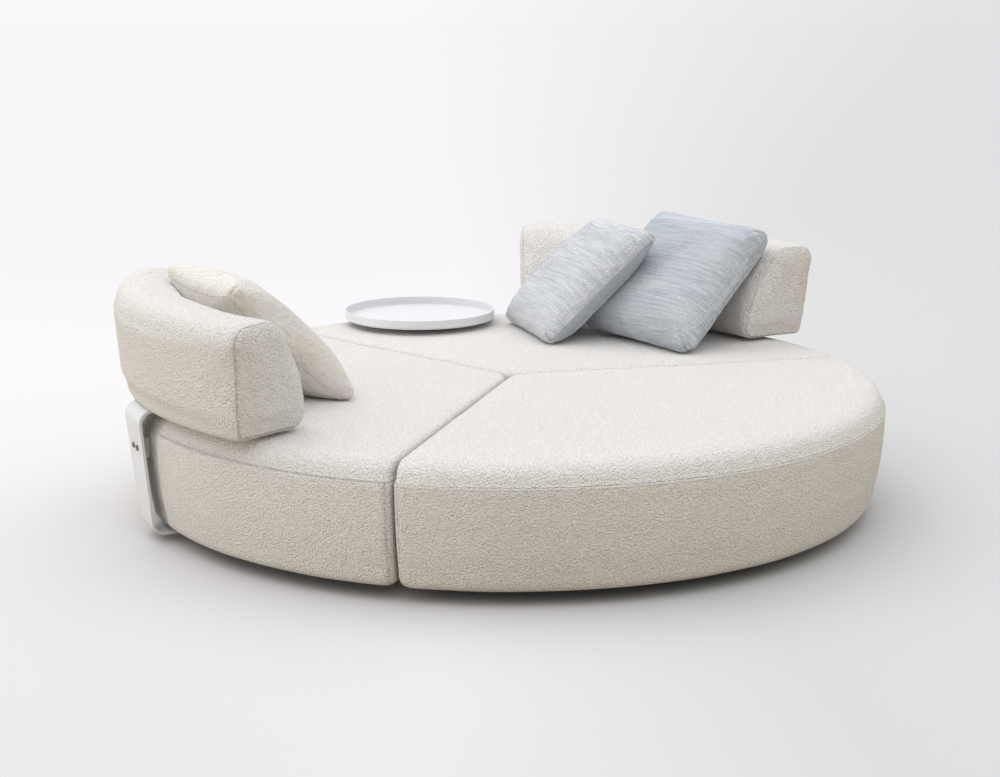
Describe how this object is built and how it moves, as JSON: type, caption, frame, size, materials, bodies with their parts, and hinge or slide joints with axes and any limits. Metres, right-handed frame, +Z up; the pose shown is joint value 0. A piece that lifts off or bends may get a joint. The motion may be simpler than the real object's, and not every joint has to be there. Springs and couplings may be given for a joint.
{
  "type": "outdoor modular sofa",
  "caption": "Round outdoor lounge island in fabric-covered sector modules with clip-on curved backrests, a side tray and loose cushions.",
  "frame": {"origin": "the round island's centre, on the floor", "axes": "+Z up; -Y towards the front; the rear module points along +Y, the left and right modules along 210 and 330 degrees"},
  "size_m": [2.4, 2.4925, 0.8003],
  "materials": {
    "cream_fabric": "nubby looped outdoor fabric, matt",
    "beige_fabric": "ribbed chenille, matt",
    "blue_fabric": "heathered knit, matt",
    "light_blue_fabric": "heathered knit, matt",
    "bracket_paint": "off-white powder coat",
    "tray_paint": "off-white powder coat, satin",
    "frame_tube": "powder-coated tube",
    "screw_steel": "stainless",
    "bracket_screw_steel": "dark stainless",
    "deck_board": "sealed outdoor plywood",
    "foam": "open-cell quick-dry foam",
    "cushion_fill": "fibre filling",
    "dust_sheet": "woven mesh sheet",
    "foot_plastic": "moulded plastic",
    "pad_rubber": "matt pale rubber",
    "zip_plastic": "moulded zip"
  },
  "bodies": {
    "rear_module": {"rear_frame": "frame_tube", "rear_deck": "deck_board", "rear_foam": "foam", "rear_cover": "cream_fabric", "rear_underside": "dust_sheet", "rear_feet": "foot_plastic", "rear_foot_screws": "screw_steel"},
    "left_module": {"left_frame": "frame_tube", "left_deck": "deck_board", "left_foam": "foam", "left_cover": "cream_fabric", "left_underside": "dust_sheet", "left_feet": "foot_plastic", "left_foot_screws": "screw_steel"},
    "right_module": {"right_frame": "frame_tube", "right_deck": "deck_board", "right_foam": "foam", "right_cover": "cream_fabric", "right_underside": "dust_sheet", "right_feet": "foot_plastic", "right_foot_screws": "screw_steel"},
    "left_backrest": {"left_bracket": "bracket_paint", "left_bracket_pads": "pad_rubber", "left_bracket_screws": "bracket_screw_steel", "left_backrest_core": "deck_board", "left_backrest_bolts": "screw_steel", "left_backrest_foam": "foam", "left_backrest_cover": "cream_fabric"},
    "rear_backrest": {"rear_bracket": "bracket_paint", "rear_bracket_pads": "pad_rubber", "rear_bracket_screws": "bracket_screw_steel", "rear_backrest_core": "deck_board", "rear_backrest_bolts": "screw_steel", "rear_backrest_foam": "foam", "rear_backrest_cover": "cream_fabric"},
    "tray_support": {"tray_bracket": "bracket_paint", "tray_bracket_pads": "pad_rubber", "tray_bracket_screws": "bracket_screw_steel", "tray_disc": "bracket_paint", "tray_disc_bolts": "screw_steel"},
    "tray_top": {"tray": "tray_paint"},
    "beige_cushion": {"beige_cushion_cover": "beige_fabric", "beige_cushion_fill": "cushion_fill", "beige_cushion_zip": "zip_plastic"},
    "large_blue_cushion": {"large_blue_cushion_cover": "blue_fabric", "large_blue_cushion_fill": "cushion_fill", "large_blue_cushion_zip": "zip_plastic"},
    "small_blue_cushion": {"small_blue_cushion_cover": "light_blue_fabric", "small_blue_cushion_fill": "cushion_fill", "small_blue_cushion_zip": "zip_plastic"}
  },
  "joints": [
    {"name": "left_module_slide", "type": "slide", "parent": "rear_module", "child": "left_module", "axis": [-0.866, -0.5, 0], "range_m": [0, 0.4]},
    {"name": "right_module_slide", "type": "slide", "parent": "rear_module", "child": "right_module", "axis": [0.866, -0.5, 0], "range_m": [0, 0.4]},
    {"name": "left_backrest_pull", "type": "slide", "parent": "left_module", "child": "left_backrest", "axis": [-0.7513, -0.66, 0], "range_m": [0, 0.26]},
    {"name": "rear_backrest_pull", "type": "slide", "parent": "rear_module", "child": "rear_backrest", "axis": [0.274, 0.9617, 0], "range_m": [0, 0.26]},
    {"name": "tray_bracket_pull", "type": "slide", "parent": "rear_module", "child": "tray_support", "axis": [-0.5736, 0.8192, 0], "range_m": [0, 0.35]},
    {"name": "tray_lift", "type": "slide", "parent": "tray_support", "child": "tray_top", "axis": [0, 0, 1], "range_m": [0, 0.3]},
    {"name": "beige_cushion_lift", "type": "slide", "parent": "left_module", "child": "beige_cushion", "axis": [0, 0, 1], "range_m": [0, 0.3]},
    {"name": "large_blue_cushion_lift", "type": "slide", "parent": "rear_module", "child": "large_blue_cushion", "axis": [0, 0, 1], "range_m": [0, 0.3]},
    {"name": "small_blue_cushion_lift", "type": "slide", "parent": "large_blue_cushion", "child": "small_blue_cushion", "axis": [0, 0, 1], "range_m": [0, 0.3]}
  ]
}
